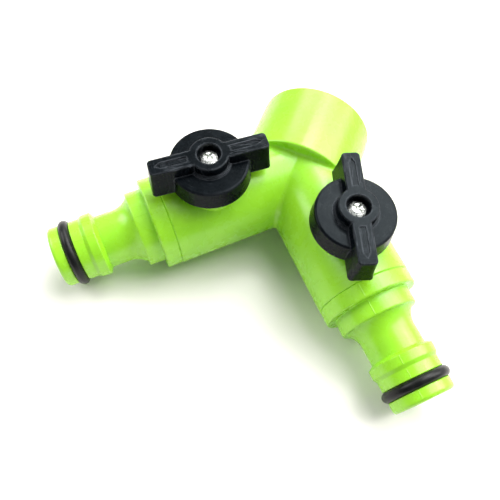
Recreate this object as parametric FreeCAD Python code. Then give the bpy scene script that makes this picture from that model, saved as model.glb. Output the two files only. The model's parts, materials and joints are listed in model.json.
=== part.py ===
"""Two-way hose splitter: a threaded inlet collar feeding two barrels set at a right
angle, each with a quarter-turn ball valve, a bar knob and a quick-connect spigot.

Millimetres. The origin is the centre of the inlet mouth, +Y points out of the mouth,
+Z points up through the knobs, and the axes of collar and barrels lie in Z = 0.
"""
import FreeCAD, Part
import math
import os
from FreeCAD import Vector

# ---- driving dimensions ------------------------------------------------------------
# layout
collar_length = 20.0
junction_y = -17.2            # where the collar axis and both barrel axes meet
arm_angles = {"left": 225.0, "right": 315.0}
knob_turns = {"left": -5.5, "right": -20.5}   # knob angle from fully open
valve_s = 25.8                # distances called s run outward along a barrel axis

# inlet collar
collar_r = 15.9
collar_edge_round = 1.0
thread_major_r = 13.22        # G 3/4 female thread, major diameter 26.44
thread_end = 11.4
washer_seat = 14.0
washer_groove_r = 13.6
washer_r = 13.4
washer_bore_r = 8.0
washer_thickness = 2.4
inlet_bore_r = 7.5

# barrels
barrel_r = 12.3
barrel_end = 39.0
junction_round = 1.2          # where the barrels meet each other and the collar's face
port_r = 5.5
chamber_start = 17.0
chamber_r = 8.6
seam_bevel = 0.22

# valve bonnet on each barrel
boss_r = 8.0
boss_top = 16.5
stem_r = 3.0
stem_bore_r = 3.05
shoulder_pocket_r = 4.5
shoulder_pocket_top = 9.6
stop_pocket_r = 6.9
stop_pocket_floor = 13.6
stop_rib_width = 20.0         # degrees
valve_travel = 90.0           # degrees
stop_margin = 1.0             # degrees of free play at each stop

# ball and seats
ball_r = 7.4
ball_bore_r = 4.2
ball_slot_floor = 5.4
tongue_width = 2.5
tongue_length = 7.0
seat_bore_r = 5.6
seat_depth = 4.4
seat_gap = 0.06
fit_gap = 0.05

# stem
stem_shoulder_r = 4.3
stem_shoulder_top = 9.5
stem_top = 18.6
stem_square = 4.2
stem_square_base = 16.0
stem_oring_heights = {"lower": 11.4, "upper": 13.9}
stem_oring_section_r = 0.62
stem_oring_r = 2.41

# spigot
flange_r = 12.2
flange_end = 43.0
disc_r = 10.0
disc_end = 47.3
neck_r = 7.0
neck_flare = 4.4
neck_flare_rise = 2.0
ridge_start = 56.3
ridge_peak = 57.2
ridge_r = 8.45
ridge_front = 59.4
nose_r = 7.8
step_start = 60.3
groove_start = 62.9
groove_end = 65.5
groove_r = 6.0
tip_end = 68.4
spigot_bore_r = 5.0
oring_section_r = 1.28
oring_r = 7.42

# knob
disc_rim_r = 9.6
skirt_r = 10.15
skirt_bottom = 14.5
skirt_inner_r = 8.4
disc_top = 20.0
disc_under = 18.1
rim_round = 0.6
hub_r = 4.7
hub_base_r = 5.4
knob_top = 22.9
hub_pocket_r = 2.85
hub_pocket_lip = 0.15
hub_pocket_floor = 20.2
drive_boss_r = 4.0
drive_boss_bottom = 16.7
bar_bottom = 15.0
bar_top_length = 28.9
bar_top_width = 4.4
bar_bottom_length = 29.9
bar_bottom_width = 6.0
bar_corner_r = 1.0
bar_top_round = 0.35
arrow_depth = 0.3
arrow_width = 1.5
arrow_start = 5.3
arrow_tip = 13.0
arrow_point_length = 1.4

# knob screw
screw_head_r = 2.05
screw_head_height = 1.5
screw_shank_r = 1.1
screw_shank_bottom = 12.6
recess_width = 0.62
recess_length = 2.5
recess_depth = 0.9

X_AXIS = Vector(1, 0, 0)
Z_AXIS = Vector(0, 0, 1)
ORIGIN = Vector(0, 0, 0)


# ---- helpers -----------------------------------------------------------------------
def unit(vector):
    return Vector(vector).normalize()


def rounded_outline(points):
    """Closed wire through (x, y, z, radius) corners, each corner eased by its radius."""
    corners = [Vector(p[0], p[1], p[2]) for p in points]
    starts = []
    ends = []
    arcs = []
    for index, corner in enumerate(corners):
        radius = points[index][3]
        to_previous = unit(corners[index - 1] - corner)
        to_next = unit(corners[(index + 1) % len(corners)] - corner)
        half = to_previous.getAngle(to_next) / 2.0
        setback = radius / math.tan(half)
        start = corner + to_previous * setback
        end = corner + to_next * setback
        starts.append(start)
        ends.append(end)
        if radius > 0:
            centre = corner + unit(to_previous + to_next) * (radius / math.sin(half))
            middle = centre + unit(corner - centre) * radius
            arcs.append(Part.Arc(start, middle, end).toShape())
        else:
            arcs.append(None)
    edges = []
    for index, arc in enumerate(arcs):
        if arc is not None:
            edges.append(arc)
        following = starts[(index + 1) % len(starts)]
        if (following - ends[index]).Length > 1e-6:
            edges.append(Part.LineSegment(ends[index], following).toShape())
    return Part.Wire(edges)


def turned_about_x(profile):
    """Solid of revolution about X from (s, radius, rounding) corners."""
    points = [(s, 0, r, rounding) for s, r, rounding in profile]
    return Part.Face(rounded_outline(points)).revolve(ORIGIN, X_AXIS, 360)


def turned_about_z(profile):
    """Solid of revolution about Z from (radius, height, rounding) corners."""
    points = [(r, 0, z, rounding) for r, z, rounding in profile]
    return Part.Face(rounded_outline(points)).revolve(ORIGIN, Z_AXIS, 360)


def cylinder_x(radius, start, end):
    return Part.makeCylinder(radius, end - start, Vector(start, 0, 0), X_AXIS)


def cylinder_z(radius, bottom, top):
    return Part.makeCylinder(radius, top - bottom, Vector(0, 0, bottom), Z_AXIS)


def sector(inner_r, outer_r, bottom, top, from_angle, to_angle):
    """Ring segment about Z between two angles in degrees."""
    ring = Part.makeCylinder(outer_r, top - bottom, Vector(0, 0, bottom), Z_AXIS, to_angle - from_angle)
    ring.rotate(ORIGIN, Z_AXIS, from_angle)
    return ring.cut(cylinder_z(inner_r, bottom, top))


def rounded_plate(length, width, corner_r, height):
    """Rectangular wire with rounded corners, centred on Z at the given height."""
    half_length = length / 2.0
    half_width = width / 2.0
    return rounded_outline([
        (half_length, half_width, height, corner_r),
        (-half_length, half_width, height, corner_r),
        (-half_length, -half_width, height, corner_r),
        (half_length, -half_width, height, corner_r),
    ])


def place_on_arm(shape, side):
    """Move a shape from the barrel frame (s along +X) to its arm."""
    placed = shape.copy()
    placed.rotate(ORIGIN, Z_AXIS, arm_angles[side])
    placed.translate(Vector(0, junction_y, 0))
    return placed


def place_in_valve(shape, side):
    """Move a shape from the valve frame (bar along +X, axis on Z) to its valve."""
    turned = shape.copy()
    turned.rotate(ORIGIN, Z_AXIS, knob_turns[side])
    turned.translate(Vector(valve_s, 0, 0))
    return place_on_arm(turned, side)


# ---- body --------------------------------------------------------------------------
def collar_outside():
    front = collar_length
    profile = [
        (0, 0, 0),
        (0, collar_r, collar_edge_round),
        (front, collar_r, 0.6),
        (front, 0, 0),
    ]
    collar = turned_about_x(profile)
    collar.rotate(ORIGIN, Z_AXIS, -90)
    return collar


def barrel_outside():
    profile = [
        (0, 0, 0),
        (0, barrel_r, 0),
        (barrel_end - seam_bevel, barrel_r, 0),
        (barrel_end, barrel_r - seam_bevel, 0),
        (barrel_end, 0, 0),
    ]
    return turned_about_x(profile)


def soften_junction(shell):
    """Round the crease between the barrels and the foot of the collar's front face."""
    front_y = -collar_length
    inner_corners = []
    for edge in shell.Edges:
        box = edge.BoundBox
        in_face = abs(box.YMin - front_y) < 0.02 and abs(box.YMax - front_y) < 0.02
        in_middle = abs(box.XMin) < 0.01 and abs(box.XMax) < 0.01 and box.ZLength > 1
        if edge.Curve.TypeId == "Part::GeomEllipse" and (in_face or in_middle):
            inner_corners.append(edge)
    return shell.makeFillet(junction_round, inner_corners)


def valve_boss():
    boss = cylinder_z(boss_r, 0, boss_top)
    half_rib = stop_rib_width / 2.0
    pocket = sector(
        stop_pocket_r, boss_r + 1, stop_pocket_floor, boss_top + 1,
        -half_rib - stop_margin, valve_travel + half_rib + stop_margin,
    )
    boss = boss.cut(pocket)
    boss.translate(Vector(valve_s, 0, 0))
    return boss


def arm_hollow():
    """Water way, ball chamber and stem bore of one barrel."""
    port = cylinder_x(port_r, 0, chamber_start)
    chamber = cylinder_x(chamber_r, chamber_start, barrel_end + 1)
    stem_bore = cylinder_z(stem_bore_r, 0, boss_top + 1)
    shoulder_pocket = cylinder_z(shoulder_pocket_r, 0, shoulder_pocket_top)
    riser = stem_bore.fuse(shoulder_pocket)
    riser.translate(Vector(valve_s, 0, 0))
    return port.fuse(chamber).fuse(riser)


def inlet_hollow():
    """Threaded socket, washer groove and bore, from the mouth to the junction."""
    profile = [
        (-1.0, 0, 0),
        (-1.0, thread_major_r, 0),
        (thread_end, thread_major_r, 0),
        (thread_end, washer_groove_r, 0),
        (washer_seat, washer_groove_r, 0),
        (washer_seat, inlet_bore_r, 0),
        (-junction_y + 1.5, inlet_bore_r, 2.0),
        (-junction_y + 1.5, 0, 0),
    ]
    hollow = turned_about_x(profile)
    hollow.rotate(ORIGIN, Z_AXIS, -90)
    return hollow


def y_body():
    shell = collar_outside()
    for side in arm_angles:
        shell = shell.fuse(place_on_arm(barrel_outside(), side))
    shell = soften_junction(shell.removeSplitter())
    for side in arm_angles:
        shell = shell.fuse(place_on_arm(valve_boss(), side))
    shell = shell.cut(inlet_hollow())
    for side in arm_angles:
        shell = shell.cut(place_on_arm(arm_hollow(), side))
    return shell.removeSplitter()


def inlet_washer():
    profile = [
        (washer_seat - washer_thickness, washer_bore_r, 0.3),
        (washer_seat - washer_thickness, washer_r, 0.3),
        (washer_seat - 0.02, washer_r, 0.3),
        (washer_seat - 0.02, washer_bore_r, 0.3),
    ]
    washer = turned_about_x(profile)
    washer.rotate(ORIGIN, Z_AXIS, -90)
    return washer


# ---- spigot ------------------------------------------------------------------------
def spigot():
    """End fitting: sleeve in the barrel, flange, disc, flared neck, ridge and nose."""
    sleeve_start = 2 * valve_s - chamber_start
    sleeve_r = chamber_r - fit_gap
    flare_r = neck_r + neck_flare_rise
    outline = [
        (sleeve_start, spigot_bore_r, 0),
        (sleeve_start, sleeve_r, 0.4),
        (barrel_end, sleeve_r, 0),
        (barrel_end, flange_r - seam_bevel, 0),
        (barrel_end + seam_bevel, flange_r, 0),
        (flange_end, flange_r, 0.45),
        (flange_end, disc_r, 0.25),
        (disc_end, disc_r, 0.5),
        (disc_end, flare_r, 0),
        (disc_end + neck_flare, neck_r, 0),
        (ridge_start, neck_r, 0),
        (ridge_peak, ridge_r, 0.25),
        (ridge_front, ridge_r - 0.1, 0.5),
        (step_start, nose_r, 0.4),
        (groove_start, nose_r, 0.2),
        (groove_start, groove_r, 0.2),
        (groove_end, groove_r, 0.2),
        (groove_end, nose_r, 0.2),
        (tip_end, nose_r, 1.0),
        (tip_end, spigot_bore_r, 0.5),
    ]
    solid = turned_about_x(outline)
    return solid.cut(neck_flare_cut(flare_r))


def neck_flare_cut(flare_r):
    """Ring between the straight flare and the hollow, tangent arc that shapes it."""
    start = Vector(disc_end, 0, flare_r)
    end = Vector(disc_end + neck_flare, 0, neck_r)
    chord = end - start
    half_angle = math.atan2(flare_r - neck_r, neck_flare)
    arc_r = chord.Length / (2 * math.sin(half_angle))
    centre = Vector(end.x, 0, neck_r + arc_r)
    middle = centre + unit((start + end) * 0.5 - centre) * arc_r
    edges = [Part.Arc(start, middle, end).toShape(), Part.LineSegment(end, start).toShape()]
    return Part.Face(Part.Wire(edges)).revolve(ORIGIN, X_AXIS, 360)


def spigot_oring():
    centre_s = (groove_start + groove_end) / 2.0
    return Part.makeTorus(oring_r, oring_section_r, Vector(centre_s, 0, 0), X_AXIS)


# ---- ball valve --------------------------------------------------------------------
def seat(direction):
    """Sealing ring at one side of the ball; direction is -1 inward, +1 outward."""
    back = valve_s - chamber_start
    front = back - seat_depth
    ring = cylinder_x(chamber_r - fit_gap, front, back - 0.02)
    ring = ring.cut(cylinder_x(seat_bore_r, front - 1, back + 1))
    ring = ring.cut(Part.makeSphere(ball_r + seat_gap))
    if direction < 0:
        ring.rotate(ORIGIN, Z_AXIS, 180)
    ring.translate(Vector(valve_s, 0, 0))
    return ring


def ball():
    sphere = Part.makeSphere(ball_r)
    slot_width = tongue_width + 2 * fit_gap
    slot = Part.makeBox(2 * ball_r, slot_width, ball_r, Vector(-ball_r, -slot_width / 2.0, ball_slot_floor))
    return sphere.cut(cylinder_x(ball_bore_r, -ball_r, ball_r)).cut(slot)


def stem():
    tongue_bottom = ball_slot_floor + fit_gap
    tongue = Part.makeBox(
        tongue_length, tongue_width, stem_shoulder_top - tongue_bottom,
        Vector(-tongue_length / 2.0, -tongue_width / 2.0, tongue_bottom),
    )
    shoulder = cylinder_z(stem_shoulder_r, ball_r + 0.8, stem_shoulder_top)
    tongue = tongue.common(cylinder_z(stem_shoulder_r, 0, stem_top))
    journal = cylinder_z(stem_r, ball_r + 1, stem_square_base)
    groove_r = stem_oring_r - stem_oring_section_r - 0.02
    groove_half = stem_oring_section_r + 0.08
    for height in stem_oring_heights.values():
        blank = cylinder_z(stem_r + 1, height - groove_half, height + groove_half)
        journal = journal.cut(blank.cut(cylinder_z(groove_r, 0, stem_top)))
    square = Part.makeBox(
        stem_square, stem_square, stem_top - stem_square_base,
        Vector(-stem_square / 2.0, -stem_square / 2.0, stem_square_base),
    )
    pilot = cylinder_z(screw_shank_r + fit_gap, screw_shank_bottom - 1, stem_top + 1)
    return tongue.fuse(shoulder).fuse(journal).fuse(square).cut(pilot)


def stem_oring(height):
    return Part.makeTorus(stem_oring_r, stem_oring_section_r, Vector(0, 0, height), Z_AXIS)


# ---- knob --------------------------------------------------------------------------
def knob_disc():
    profile = [
        (0, disc_under, 0),
        (0, disc_top, 0),
        (disc_rim_r, disc_top, rim_round),
        (skirt_r, skirt_bottom, 0.3),
        (skirt_inner_r, skirt_bottom, 0),
        (skirt_inner_r, disc_under, 0.6),
    ]
    return turned_about_z(profile)


def knob_hub():
    profile = [
        (0, disc_under, 0),
        (0, knob_top, 0),
        (hub_r, knob_top, bar_top_round),
        (hub_r + 0.15, disc_top + 0.5, 0.3),
        (hub_base_r, disc_top + 0.3, 0.15),
        (hub_base_r, disc_under, 0),
    ]
    return turned_about_z(profile)


def knob_bar():
    """Drafted grip bar, open below the disc where the skirt is hollow."""
    top = rounded_plate(bar_top_length, bar_top_width, bar_corner_r, knob_top)
    bottom = rounded_plate(bar_bottom_length, bar_bottom_width, bar_corner_r, bar_bottom)
    bar = Part.makeLoft([bottom, top], True, True)
    rim = [edge for edge in bar.Edges if edge.BoundBox.ZMin > knob_top - 0.01]
    bar = bar.makeFillet(bar_top_round, rim)
    return bar.cut(cylinder_z(skirt_inner_r + 0.3, bar_bottom - 1, disc_under))


def arrow_recess(direction):
    """Shallow pointed channel along one half of the bar's top."""
    half = arrow_width / 2.0
    shoulder = arrow_tip - arrow_point_length
    floor = knob_top - arrow_depth
    points = [
        Vector(arrow_start, -half, floor),
        Vector(shoulder, -half, floor),
        Vector(arrow_tip, 0, floor),
        Vector(shoulder, half, floor),
        Vector(arrow_start, half, floor),
    ]
    outline = Part.makePolygon(points + points[:1])
    channel = Part.Face(outline).extrude(Vector(0, 0, 1))
    if direction < 0:
        channel.rotate(ORIGIN, Z_AXIS, 180)
    return channel


def drive_socket():
    side = stem_square + 2 * fit_gap
    return Part.makeBox(
        side, side, stem_top + fit_gap - drive_boss_bottom + 1,
        Vector(-side / 2.0, -side / 2.0, drive_boss_bottom - 1),
    )


def stop_rib():
    """Rib inside the skirt that runs in the bonnet's stop pocket."""
    middle = valve_travel
    half = stop_rib_width / 2.0
    inner = stop_pocket_r + 0.3
    return sector(inner, skirt_inner_r + 0.3, skirt_bottom + 0.3, disc_under + 0.2, middle - half, middle + half)


def knob():
    body = knob_disc().fuse(knob_hub()).fuse(knob_bar())
    body = body.fuse(cylinder_z(drive_boss_r, drive_boss_bottom, disc_under + 0.5))
    body = body.fuse(stop_rib())
    pocket = turned_about_z([
        (0, hub_pocket_floor, 0),
        (hub_pocket_r - 0.1, hub_pocket_floor, 0),
        (hub_pocket_r, knob_top - hub_pocket_lip, 0),
        (hub_pocket_r + hub_pocket_lip, knob_top, 0),
        (hub_pocket_r + hub_pocket_lip, knob_top + 1, 0),
        (0, knob_top + 1, 0),
    ])
    body = body.cut(pocket)
    body = body.cut(drive_socket())
    body = body.cut(cylinder_z(screw_shank_r + 0.1, disc_under, knob_top))
    for direction in (-1, 1):
        body = body.cut(arrow_recess(direction))
    return body.removeSplitter()


def knob_screw():
    """Small pan-head screw with a cross recess and a pointed shank."""
    head_bottom = hub_pocket_floor + 0.02
    head_top = hub_pocket_floor + screw_head_height
    profile = [
        (0, screw_shank_bottom, 0),
        (screw_shank_r, screw_shank_bottom + 1.2, 0),
        (screw_shank_r, head_bottom, 0),
        (screw_head_r, head_bottom, 0.1),
        (screw_head_r, head_top - 0.5, 0),
        (screw_head_r * 0.55, head_top, 0.4),
        (0, head_top, 0),
    ]
    screw = turned_about_z(profile)
    for angle in (45, 135):
        arm = Part.makeBox(
            recess_length, recess_width, recess_depth + 0.5,
            Vector(-recess_length / 2.0, -recess_width / 2.0, head_top - recess_depth),
        )
        arm.rotate(ORIGIN, Z_AXIS, angle)
        screw = screw.cut(arm)
    return screw


# ---- export ------------------------------------------------------------------------
def solid_nodes():
    """Every node name with its placed shape."""
    nodes = {"y_body": y_body(), "inlet_washer": inlet_washer()}
    for side in arm_angles:
        nodes[side + "_spigot"] = place_on_arm(spigot(), side)
        nodes[side + "_spigot_oring"] = place_on_arm(spigot_oring(), side)
        nodes[side + "_seat_inner"] = place_on_arm(seat(-1), side)
        nodes[side + "_seat_outer"] = place_on_arm(seat(1), side)
        nodes[side + "_ball"] = place_in_valve(ball(), side)
        nodes[side + "_stem"] = place_in_valve(stem(), side)
        for level, height in stem_oring_heights.items():
            nodes[side + "_stem_oring_" + level] = place_in_valve(stem_oring(height), side)
        nodes[side + "_knob"] = place_in_valve(knob(), side)
        nodes[side + "_knob_screw"] = place_in_valve(knob_screw(), side)
    return nodes


os.makedirs("parts", exist_ok=True)
for name, shape in solid_nodes().items():
    shape.exportStep("parts/" + name + ".step")
    print(name, "solids", len(shape.Solids), "valid", shape.isValid(), "volume", round(shape.Volume, 1))
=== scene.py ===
import json
import math

import bpy
from mathutils import Matrix, Vector
from mathutils.bvhtree import BVHTree


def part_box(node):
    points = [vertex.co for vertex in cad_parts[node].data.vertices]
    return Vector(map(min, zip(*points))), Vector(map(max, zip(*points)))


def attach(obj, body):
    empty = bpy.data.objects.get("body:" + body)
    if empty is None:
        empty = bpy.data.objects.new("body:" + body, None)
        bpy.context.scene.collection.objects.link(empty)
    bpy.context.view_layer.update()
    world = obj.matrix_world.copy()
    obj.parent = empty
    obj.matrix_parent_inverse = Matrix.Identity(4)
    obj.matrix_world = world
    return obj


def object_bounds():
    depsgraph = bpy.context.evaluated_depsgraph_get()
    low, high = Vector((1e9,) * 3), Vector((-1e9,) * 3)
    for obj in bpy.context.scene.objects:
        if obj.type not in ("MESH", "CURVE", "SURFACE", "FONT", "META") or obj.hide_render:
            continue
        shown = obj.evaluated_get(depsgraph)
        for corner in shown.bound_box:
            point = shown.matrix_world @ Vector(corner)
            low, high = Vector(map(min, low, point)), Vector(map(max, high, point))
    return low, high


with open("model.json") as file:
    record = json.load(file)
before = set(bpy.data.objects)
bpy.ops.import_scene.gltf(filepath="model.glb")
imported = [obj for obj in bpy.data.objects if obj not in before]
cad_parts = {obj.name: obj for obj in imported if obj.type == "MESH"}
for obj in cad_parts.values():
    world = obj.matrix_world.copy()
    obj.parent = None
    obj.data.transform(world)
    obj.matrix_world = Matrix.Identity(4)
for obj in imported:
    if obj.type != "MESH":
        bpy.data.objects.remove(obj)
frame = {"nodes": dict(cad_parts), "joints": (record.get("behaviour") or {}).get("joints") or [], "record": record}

cad_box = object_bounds()

MM = 0.001
SIDES = ("left", "right")
JOINTS = {joint["name"]: joint for joint in frame["joints"]}
MOUNTS = {mount["name"]: mount for mount in frame["record"]["mounts"]}
SPIGOT_SEAM_TURN = {"left": 10.7, "right": -22.5}   # degrees of the mould line from straight up


# ---- frame helpers -----------------------------------------------------------------
def valve_centre(side):
    """Point on the knob's axis, in the plane of the barrels."""
    return Vector(JOINTS[side + "_valve_turn"]["pos_m"])


def arm_axis(side):
    """Unit vector along a barrel, out of its spigot."""
    return Vector(MOUNTS[side + "_outlet_nose"]["axis"]).normalized()


def junction():
    """Point where the axes of the collar and the barrels meet."""
    nose = Vector(MOUNTS["left_outlet_nose"]["pos_m"])
    axis = arm_axis("left")
    return nose - axis * (nose.x / axis.x)


def lowest_edge(name):
    """Foremost of a CAD node's lowest points."""
    tolerance = 0.05 * MM
    points = [vertex.co for vertex in frame["nodes"][name].data.vertices]
    low = min(point.z for point in points)
    return min((point for point in points if point.z < low + tolerance), key=lambda point: point.y)


def bar_angle(side):
    """Angle of the knob's bar about +Z at rest, from +X, in radians."""
    axis = arm_axis(side)
    open_turn = JOINTS[side + "_valve_turn"]["range_deg"][1]
    return math.atan2(axis.y, axis.x) - math.radians(open_turn)


# ---- camera ------------------------------------------------------------------------
def make_camera():
    """Close camera looking steeply down on the splitter, slightly from its right."""
    azimuth = math.radians(17.23)
    elevation = math.radians(65.1)
    roll = math.radians(4.5)
    distance = 132.1 * MM
    target = Vector((-3.52, -44.75, 0.0)) * MM
    back = Vector((
        math.sin(azimuth) * math.cos(elevation),
        -math.cos(azimuth) * math.cos(elevation),
        math.sin(elevation),
    ))
    level = Vector((0, 0, 1)).cross(back).normalized()
    upright = back.cross(level)
    right = level * math.cos(roll) + upright * math.sin(roll)
    up = upright * math.cos(roll) - level * math.sin(roll)
    data = bpy.data.cameras.new("camera")
    data.sensor_width = 36.0
    data.lens = 36.2
    data.clip_start = 0.005
    camera = bpy.data.objects.new("camera", data)
    bpy.context.scene.collection.objects.link(camera)
    axes = Matrix((right, up, back)).transposed().to_4x4()
    camera.matrix_world = Matrix.Translation(target + back * distance) @ axes
    bpy.context.scene.camera = camera


# ---- floor and light ---------------------------------------------------------------
def make_floor():
    """White table the splitter lies on, touching the collar's front edge and both flanges."""
    collar_edge = lowest_edge("y_body")
    flange_edge = lowest_edge("left_spigot")
    slope = (flange_edge.z - collar_edge.z) / (flange_edge.y - collar_edge.y)
    level = collar_edge.z - slope * collar_edge.y
    half = 1.6
    mottle_size = 50 * MM
    ends = ((-half, -half), (half, -half), (half, half), (-half, half))
    corners = [(x, y, level + slope * y) for x, y in ends]
    mesh = bpy.data.meshes.new("floor")
    mesh.from_pydata(corners, [], [(0, 1, 2, 3)])
    floor = bpy.data.objects.new("floor", mesh)
    bpy.context.scene.collection.objects.link(floor)
    graph = Graph("floor_white")
    graph.set(**{"Base Color": (0.95, 0.90, 0.88, 1), "Specular IOR Level": 0.2})
    mottle = graph.noise(graph.place(), mottle_size)
    graph.join("Roughness", graph.scale_to(mottle, 0.3, 0.7, 0.55, 0.65))
    mesh.materials.append(graph.material)


def area_light(name, place, size, power, colour):
    """Soft panel at a place, facing the middle of the splitter."""
    data = bpy.data.lights.new(name, "AREA")
    data.shape = "RECTANGLE"
    data.size, data.size_y = size
    data.energy = power
    data.color = colour
    light = bpy.data.objects.new(name, data)
    bpy.context.scene.collection.objects.link(light)
    middle = (cad_box[0] + cad_box[1]) * 0.5
    light.location = Vector(place)
    light.rotation_euler = (Vector(place) - middle).to_track_quat("Z", "Y").to_euler()


def make_tent():
    """White surround, bright behind the splitter and dim in front of it."""
    bright_side = Vector((0.3, 0.85, 0.1)).normalized()
    dim_from, bright_from = -0.4, 1.0
    dim, bright = 0.20, 0.95
    world = bpy.data.worlds.new("tent")
    world.use_nodes = True
    tree = world.node_tree
    background = tree.nodes["Background"]
    background.inputs["Color"].default_value = (0.94, 0.98, 1.0, 1)
    direction = tree.nodes.new("ShaderNodeTexCoord")
    facing = tree.nodes.new("ShaderNodeVectorMath")
    facing.operation = "DOT_PRODUCT"
    facing.inputs[1].default_value = bright_side
    fade = tree.nodes.new("ShaderNodeMapRange")
    fade.interpolation_type = "SMOOTHSTEP"
    for index, value in enumerate((dim_from, bright_from, dim, bright), start=1):
        fade.inputs[index].default_value = value
    tree.links.new(direction.outputs["Generated"], facing.inputs[0])
    tree.links.new(facing.outputs["Value"], fade.inputs[0])
    tree.links.new(fade.outputs[0], background.inputs["Strength"])
    bpy.context.scene.world = world


def make_light():
    """White tent, with soft panels above, behind and at the sides."""
    make_tent()
    area_light("sky_panel", (0.18, 0.22, 0.54), (0.50, 0.50), 3.4, (1.0, 0.995, 0.98))
    area_light("window_panel", (0.05, 0.30, 0.52), (0.20, 0.10), 0.9, (0.98, 1.0, 0.99))
    area_light("side_panel", (0.40, 0.24, 0.32), (0.34, 0.32), 1.7, (1.0, 0.985, 0.94))
    area_light("back_panel", (-0.14, 0.50, 0.40), (0.50, 0.26), 2.2, (1.0, 1.0, 0.97))
    area_light("left_panel", (-0.48, -0.04, 0.34), (0.34, 0.34), 1.8, (1.0, 1.0, 1.0))
    bpy.context.scene.view_settings.view_transform = "Standard"


# ---- material nodes ----------------------------------------------------------------
class Graph:
    """A material's node tree, with short ways to add and join nodes."""

    def __init__(self, name):
        self.material = bpy.data.materials.new(name)
        self.material.use_nodes = True
        self.tree = self.material.node_tree
        self.shader = self.tree.nodes["Principled BSDF"]

    def feed(self, node, inputs):
        """Link sockets to a node's inputs, and set the rest as values."""
        for key, value in inputs.items():
            if isinstance(value, bpy.types.NodeSocket):
                self.tree.links.new(value, node.inputs[key])
            else:
                node.inputs[key].default_value = value

    def add(self, kind, inputs, **settings):
        node = self.tree.nodes.new("ShaderNode" + kind)
        for key, value in settings.items():
            setattr(node, key, value)
        self.feed(node, inputs)
        return node

    def set(self, **values):
        """Set inputs of the shader."""
        for key, value in values.items():
            self.shader.inputs[key].default_value = value

    def join(self, key, socket):
        """Link a socket to an input of the shader."""
        self.tree.links.new(socket, self.shader.inputs[key])

    def place(self, turn=0.0, middle=(0, 0, 0)):
        """Object coordinates, from a middle point and turned about Z."""
        spot = self.add("TexCoord", {}).outputs["Object"]
        moved = self.add("VectorMath", {0: spot, 1: middle}, operation="SUBTRACT").outputs[0]
        return self.add("Mapping", {"Vector": moved, "Rotation": (0, 0, -turn)}).outputs[0]

    def stretched(self, place, size):
        """Coordinates divided by a size along each axis."""
        scale = tuple(1 / part for part in size)
        return self.add("Mapping", {"Vector": place, "Scale": scale}).outputs[0]

    def noise(self, place, size, detail=2.0):
        inputs = {"Vector": place, "Scale": 1 / size, "Detail": detail}
        return self.add("TexNoise", inputs).outputs[0]

    def scale_to(self, value, from_low, from_high, to_low, to_high):
        """Value moved smoothly from one range to another, and held at its ends."""
        ends = {"Value": value, 1: from_low, 2: from_high, 3: to_low, 4: to_high}
        return self.add("MapRange", ends, interpolation_type="SMOOTHSTEP").outputs[0]

    def math(self, operation, first, second=0.0):
        return self.add("Math", {0: first, 1: second}, operation=operation).outputs[0]

    def mix(self, share, first, second):
        """Colour between two colours or sockets."""
        node = self.add("Mix", {}, data_type="RGBA")
        self.feed(node, {0: share, 6: first, 7: second})
        return node.outputs[2]

    def scratches(self, place, size, thinness, cover):
        """Thin broken lines along X of the place: 1 on a line and 0 elsewhere."""
        patch_size = 7 * MM
        patch_fade = 0.12
        stretched = self.stretched(place, size)
        field = self.add("TexNoise", {"Vector": stretched, "Scale": 1.0, "Detail": 1.0}).outputs[0]
        away = self.math("ABSOLUTE", self.math("SUBTRACT", field, 0.5))
        line = self.scale_to(away, 0.0, thinness, 1.0, 0.0)
        patch = self.noise(place, patch_size)
        shown = self.scale_to(patch, cover, cover + patch_fade, 0.0, 1.0)
        return self.math("MULTIPLY", line, shown)

    def edge(self, reach, sharp):
        """Mask of the convex and concave edges, from the normal eased over a reach."""
        eased = self.add("Bevel", {"Radius": reach}, samples=4).outputs[0]
        flat = self.add("NewGeometry", {}).outputs["Normal"]
        match = self.add("VectorMath", {0: eased, 1: flat}, operation="DOT_PRODUCT")
        return self.scale_to(match.outputs["Value"], 1.0 - sharp, 1.0, 1.0, 0.0)

    def bump(self, height, distance, normal=None):
        """Normal tilted by a height, on top of another normal where one is given."""
        inputs = {"Height": height, "Distance": distance}
        if normal is not None:
            inputs["Normal"] = normal
        return self.add("Bump", inputs).outputs[0]


# ---- materials ---------------------------------------------------------------------
def green_plastic():
    """Glossy lime moulding: slight flow marks and fine handling scratches."""
    deep_lime, lime = (0.28, 0.67, 0.020, 1), (0.33, 0.74, 0.028, 1)
    clouded, scratched = (0.25, 0.66, 0.016, 1), (0.62, 0.90, 0.30, 1)
    scratch_size = (9 * MM, 0.7 * MM, 0.7 * MM)
    thinness, cover = 0.006, 0.57
    graph = Graph("green_plastic_moulded")
    place = graph.place()
    along_left = graph.place(math.radians(45))
    along_right = graph.place(math.radians(-45))
    flow = graph.noise(place, 13 * MM)
    cloud = graph.noise(place, 2.6 * MM, 3.0)
    lines = graph.math(
        "MAXIMUM",
        graph.scratches(along_left, scratch_size, thinness, cover),
        graph.scratches(along_right, scratch_size, thinness, cover),
    )
    colour = graph.mix(graph.scale_to(flow, 0.3, 0.7, 0.0, 1.0), deep_lime, lime)
    colour = graph.mix(graph.scale_to(cloud, 0.35, 0.75, 0.0, 0.08), colour, clouded)
    colour = graph.mix(graph.math("MULTIPLY", lines, 0.16), colour, scratched)
    graph.join("Base Color", colour)
    rough = graph.scale_to(cloud, 0.3, 0.7, 0.25, 0.30)
    graph.join("Roughness", graph.math("ADD", rough, graph.math("MULTIPLY", lines, 0.05)))
    graph.join("Normal", graph.bump(flow, 0.05 * MM))
    graph.set(**{"Specular IOR Level": 0.58})
    return graph.material


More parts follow.
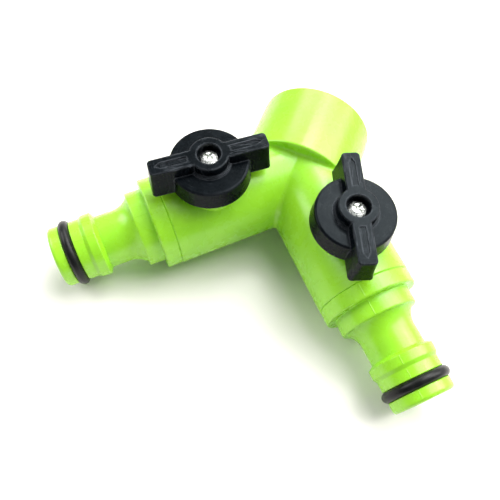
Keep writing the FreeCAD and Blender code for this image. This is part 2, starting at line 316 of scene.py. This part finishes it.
def black_plastic(side):
    """Satin black knob moulding, scuffed along its bar and ringed round its disc, with a painted highlight along
    its edges.
    """
    deep_black, black = (0.0012, 0.0022, 0.0032, 1), (0.0022, 0.0036, 0.0052, 1)
    # the second grey of this pair is a painted highlight that stands in for glints on the edges
    scuffed, glint_grey = (0.075, 0.083, 0.095, 1), (0.11, 0.12, 0.135, 1)
    graph = Graph(side + "_knob_black_plastic")
    place = graph.place(bar_angle(side), valve_centre(side))
    parts = graph.add("SeparateXYZ", {0: place})
    along, across, height = parts.outputs["X"], parts.outputs["Y"], parts.outputs["Z"]
    squares = graph.math("ADD", graph.math("POWER", along, 2.0), graph.math("POWER", across, 2.0))
    radius = graph.math("SQRT", squares)
    turn = graph.math("MULTIPLY", graph.math("ARCTAN2", across, along), 6 * MM)
    around = graph.add("CombineXYZ", {0: turn, 1: radius}).outputs[0]
    cloud = graph.noise(place, 1.9 * MM, 3.0)
    grain = graph.noise(place, 0.16 * MM)

    # scuffs on the bar's top outside the hub, and faint arcs round the disc
    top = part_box(side + "_knob")[1].z
    on_top = graph.scale_to(height, top - 0.5 * MM, top - 0.35 * MM, 0.0, 1.0)
    off_hub = graph.scale_to(radius, 4.6 * MM, 5.2 * MM, 0.0, 1.0)
    bar_top = graph.math("MULTIPLY", on_top, off_hub)
    straight = graph.scratches(place, (7 * MM, 0.45 * MM, 2 * MM), 0.05, 0.38)
    scuffs = graph.math("MULTIPLY", straight, bar_top)
    arcs = graph.scratches(around, (9 * MM, 0.5 * MM, 1.0), 0.018, 0.44)
    marks = graph.math("MAXIMUM", scuffs, graph.math("MULTIPLY", arcs, 0.35))
    patchy = graph.scale_to(cloud, 0.35, 0.6, 0.5, 1.0)
    # painted highlight: mask of the rims and bar edges, patchy with the cloud, where glints are painted in lighter
    # grey
    edge = graph.math("MULTIPLY", graph.edge(0.5 * MM, 0.08), patchy)

    colour = graph.mix(graph.scale_to(cloud, 0.3, 0.7, 0.0, 1.0), deep_black, black)
    colour = graph.mix(graph.math("MULTIPLY", marks, 0.6), colour, scuffed)
    # painted highlight: edges lightened towards a grey glint
    colour = graph.mix(graph.math("MULTIPLY", edge, 0.6), colour, glint_grey)
    graph.join("Base Color", colour)
    rough = graph.scale_to(cloud, 0.3, 0.7, 0.24, 0.31)
    graph.join("Roughness", graph.math("ADD", rough, graph.math("MULTIPLY", scuffs, 0.12)))
    rings = graph.noise(graph.add("CombineXYZ", {0: radius}).outputs[0], 0.35 * MM)
    ringed = graph.bump(rings, 0.006 * MM)
    dented = graph.bump(graph.math("SUBTRACT", grain, scuffs), 0.008 * MM, ringed)
    graph.join("Normal", dented)
    graph.set(**{"Specular IOR Level": 0.08, "Specular Tint": (0.80, 0.93, 1.0, 1)})
    return graph.material


def black_rubber():
    """Satin nitrile rubber with fine grain and a little dust."""
    deep_black, black = (0.0040, 0.0044, 0.0044, 1), (0.008, 0.0084, 0.008, 1)
    dusty = (0.035, 0.039, 0.032, 1)
    graph = Graph("black_rubber_seal")
    place = graph.place()
    cloud = graph.noise(place, 1.4 * MM, 3.0)
    grain = graph.noise(place, 0.12 * MM)
    dust = graph.scale_to(graph.noise(place, 0.3 * MM), 0.62, 0.72, 0.0, 0.35)
    colour = graph.mix(graph.scale_to(cloud, 0.3, 0.7, 0.0, 1.0), deep_black, black)
    graph.join("Base Color", graph.mix(dust, colour, dusty))
    graph.join("Roughness", graph.scale_to(cloud, 0.3, 0.7, 0.28, 0.40))
    graph.join("Normal", graph.bump(grain, 0.010 * MM))
    graph.set(**{"Specular IOR Level": 0.25})
    return graph.material


def zinc_steel():
    """Bright zinc plating with a frosted, pitted surface."""
    pitted, bright = (0.30, 0.31, 0.30, 1), (0.88, 0.90, 0.86, 1)
    graph = Graph("zinc_plated_steel")
    place = graph.place()
    cloud = graph.noise(place, 0.55 * MM, 3.0)
    pits = graph.noise(place, 0.22 * MM, 2.0)
    colour = graph.mix(graph.scale_to(pits, 0.38, 0.52, 0.0, 1.0), pitted, bright)
    graph.join("Base Color", colour)
    graph.join("Roughness", graph.scale_to(cloud, 0.3, 0.7, 0.22, 0.42))
    graph.join("Normal", graph.bump(graph.math("ADD", pits, cloud), 0.09 * MM))
    graph.set(Metallic=1.0)
    return graph.material


def white_polymer(name, light, dark, gloss):
    """Natural white engineering polymer, turned or moulded."""
    graph = Graph(name)
    place = graph.place()
    cloud = graph.noise(place, 1.6 * MM, 3.0)
    grain = graph.noise(place, 0.15 * MM)
    graph.join("Base Color", graph.mix(graph.scale_to(cloud, 0.3, 0.7, 0.0, 1.0), light, dark))
    graph.join("Roughness", graph.scale_to(cloud, 0.3, 0.7, gloss, gloss + 0.12))
    graph.join("Normal", graph.bump(grain, 0.006 * MM))
    return graph.material


def dress_nodes():
    """Give every CAD node the material of its slot."""
    ptfe = white_polymer("ptfe_seat", (0.86, 0.86, 0.84, 1), (0.80, 0.80, 0.77, 1), 0.42)
    acetal = white_polymer("acetal_white", (0.84, 0.83, 0.79, 1), (0.77, 0.76, 0.71, 1), 0.28)
    slots = {
        "green_plastic": GREEN,
        "black_rubber": black_rubber(),
        "zinc_steel": zinc_steel(),
        "ptfe": ptfe,
        "acetal": acetal,
    }
    knobs = {side: black_plastic(side) for side in SIDES}
    for entry in frame["record"]["subparts"]:
        node = frame["nodes"][entry["node"]]
        if entry["material_slot"] == "black_plastic":
            material = knobs[entry["node"].split("_")[0]]
        else:
            material = slots[entry["material_slot"]]
        for slot in node.material_slots:
            slot.material = material


# ---- new pieces --------------------------------------------------------------------
def new_piece(name, vertices, faces, material, body):
    """Smooth-shaded mesh piece that rides on a body."""
    mesh = bpy.data.meshes.new(name)
    mesh.from_pydata(vertices, [], faces)
    mesh.validate()
    mesh.materials.append(material)
    for polygon in mesh.polygons:
        polygon.use_smooth = True
    piece = bpy.data.objects.new(name, mesh)
    bpy.context.scene.collection.objects.link(piece)
    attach(piece, body)


def swept(sections, closed):
    """Vertices and faces of a strip through equal sections; closed joins each section's ends."""
    count = len(sections[0])
    vertices = [point for section in sections for point in section]
    sides = count if closed else count - 1
    faces = []
    for row in range(len(sections) - 1):
        for column in range(sides):
            here = row * count + column
            beside = row * count + (column + 1) % count
            faces.append((here, beside, beside + count, here + count))
    return vertices, faces


# ---- inlet thread ------------------------------------------------------------------
def inlet_thread():
    """Helical G 3/4 thread ridge inside the collar, running out at both ends."""
    mount = MOUNTS["inlet_thread"]
    root = mount["dims"]["r_mm"] * MM
    depth = 1.16 * MM
    pitch = 1.814 * MM
    start = 0.7 * MM
    end = mount["dims"]["length_mm"] * MM - 0.5 * pitch
    turns = (end - start) / pitch
    steps_a_turn = 72
    runout_turns = 0.5
    # along the axis in pitches, and towards the axis in depths
    profile = (
        (-0.46, -0.12), (-0.40, 0.05), (-0.13, 0.93), (0.0, 1.0),
        (0.13, 0.93), (0.40, 0.05), (0.46, -0.12),
    )
    steps = int(turns * steps_a_turn)
    sections = []
    for step in range(steps + 1):
        share = step / steps
        angle = 2 * math.pi * turns * share
        runout = min(1.0, share * turns / runout_turns, (1 - share) * turns / runout_turns)
        axial = start + pitch * turns * share
        section = []
        for along, rise in profile:
            lift = rise * depth * (math.sin(runout * math.pi / 2) if rise > 0 else 1.0)
            radius = root - lift
            y = -(axial + along * pitch)
            section.append((radius * math.cos(angle), y, radius * math.sin(angle)))
        sections.append(section)
    vertices, faces = swept(sections, closed=True)
    new_piece("inlet_thread", vertices, faces, GREEN, "manifold")


# ---- mould lines -------------------------------------------------------------------
def bead(name, node, rays, width, height):
    """Low rounded ridge on a node's surface, along the places that the rays meet."""
    neighbours = 3
    sunk = 0.15 * height
    mesh = frame["nodes"][node].data
    faces = [polygon.vertices for polygon in mesh.polygons]
    surface = BVHTree.FromPolygons([vertex.co for vertex in mesh.vertices], faces)
    hits = [surface.ray_cast(origin, direction) for origin, direction in rays]
    hits = [(place, normal) for place, normal, _, _ in hits if place is not None]
    sections = []
    for index, (place, _) in enumerate(hits):
        before = hits[max(index - 1, 0)][0]
        after = hits[min(index + 1, len(hits) - 1)][0]
        near = hits[max(index - neighbours, 0):index + neighbours + 1]
        normal = sum((hit[1] for hit in near), Vector()).normalized()
        across = (after - before).cross(normal).normalized()
        section = []
        for share in (-1.0, -0.6, 0.0, 0.6, 1.0):
            lift = height * (1.0 - share * share) - sunk
            section.append(place + across * (share * width / 2) + normal * lift)
        sections.append(section)
    vertices, faces = swept(sections, closed=False)
    new_piece(name, vertices, faces, GREEN, "manifold")


def body_mould_lines():
    """Parting lines on the collar and the outer sides of the barrels, in the barrels' plane."""
    width, height = 0.16 * MM, 0.05 * MM
    middle = junction()
    reach = 60 * MM
    for side, sign in (("left", -1), ("right", 1)):
        spots = [step * 0.25 * MM for step in range(-76, -3)]
        rays = [(Vector((sign * reach, y, 0)), Vector((-sign, 0, 0))) for y in spots]
        bead(side + "_collar_mould_line", "y_body", rays, width, height)
        axis = arm_axis(side)
        outward = Vector((-axis.y * sign, axis.x * sign, 0))
        spots = [middle + axis * (step * 0.5 * MM) for step in range(34, 77)]
        rays = [(spot + outward * reach, -outward) for spot in spots]
        bead(side + "_barrel_mould_line", "y_body", rays, width, height)


def spigot_mould_lines():
    """Parting lines along each spigot's flange, disc, ridge, nose and tip."""
    width, height = 0.28 * MM, 0.07 * MM
    steps_a_mm = 6
    reach = 30 * MM
    # first and last place of each line, in millimetres from the junction along the barrel
    spans = (
        ("flange", 39.3, 42.7),
        ("disc", 43.3, 47.0),
        ("ridge", 57.3, 59.3),
        ("nose", 60.6, 62.7),
        ("tip", 65.7, 67.6),
    )
    middle = junction()
    for side in SIDES:
        axis = arm_axis(side)
        level = Vector((-axis.y, axis.x, 0))
        turn = math.radians(SPIGOT_SEAM_TURN[side])
        outward = Vector((0, 0, 1)) * math.cos(turn) + level * math.sin(turn)
        for place, first, last in spans:
            for half, way in (("upper", 1), ("lower", -1)):
                count = int((last - first) * steps_a_mm)
                rays = []
                for step in range(count + 1):
                    s = (first + (last - first) * step / count) * MM
                    start = middle + axis * s + outward * (way * reach)
                    rays.append((start, -outward * way))
                name = "_".join((side, place, half, "mould_line"))
                bead(name, side + "_spigot", rays, width, height)


GREEN = green_plastic()
make_camera()
make_floor()
make_light()
dress_nodes()
inlet_thread()
body_mould_lines()
spigot_mould_lines()
